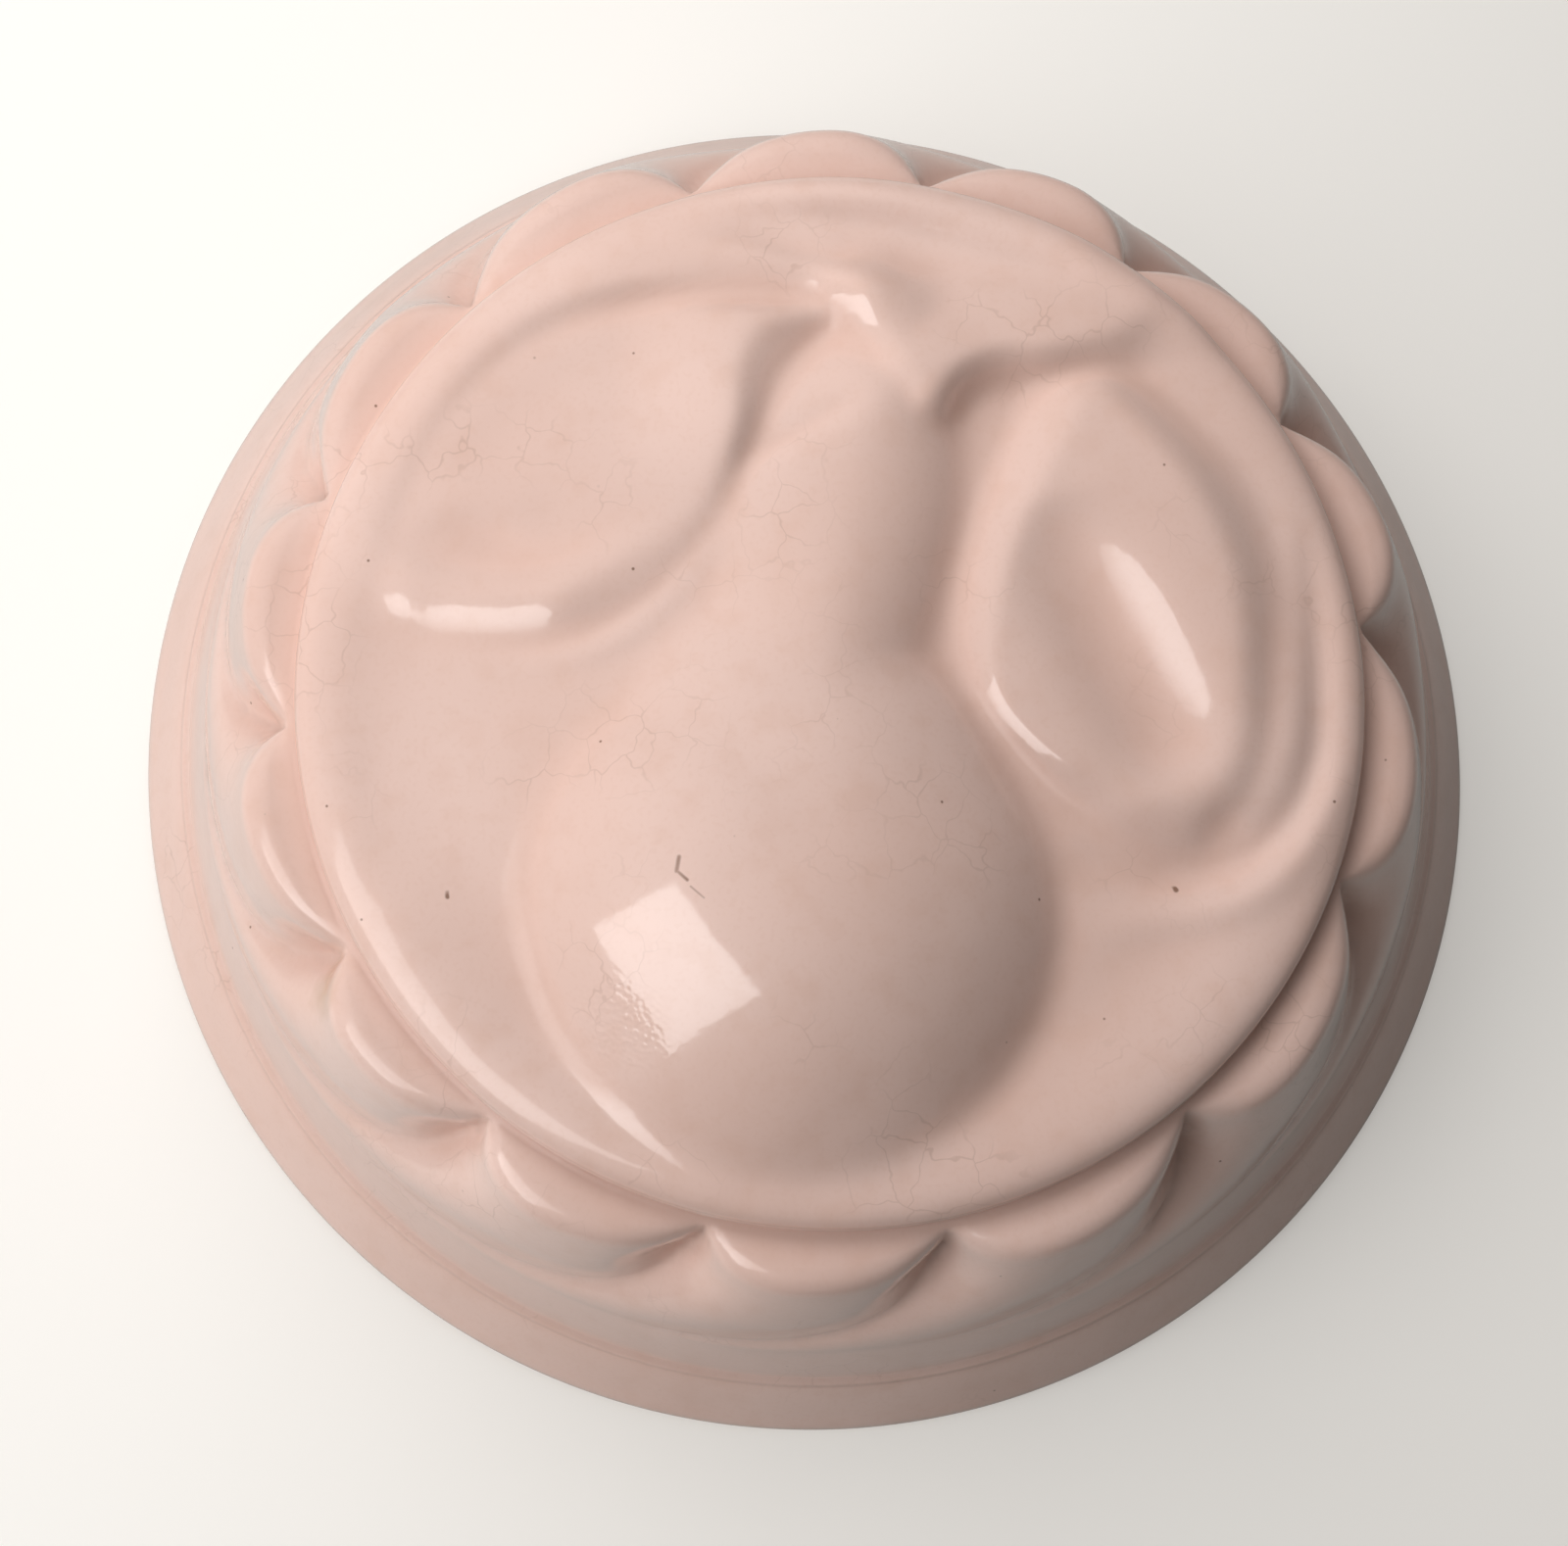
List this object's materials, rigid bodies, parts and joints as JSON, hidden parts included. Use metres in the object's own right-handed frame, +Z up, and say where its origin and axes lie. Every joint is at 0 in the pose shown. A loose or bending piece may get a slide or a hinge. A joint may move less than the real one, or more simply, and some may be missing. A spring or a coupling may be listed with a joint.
{
  "type": "pudding mould",
  "caption": "Round glazed earthenware pudding mould, open below, with leaning lobes round its sloping wall and a pear, leaves and a round fruit in relief on top.",
  "frame": {"origin": "centre of the rim's resting face, on the plane that the mould stands on", "axes": "+Z up through the relief face, opening towards -Z; +Y towards the pear's stalk, +X towards the round fruit"},
  "size_m": [0.19, 0.19, 0.0665],
  "materials": {
    "pink_glaze": "glossy pale salmon pink glaze, finely crazed, with a few brown specks"
  },
  "bodies": {
    "root": {"mould_body": "pink_glaze"}
  },
  "joints": []
}
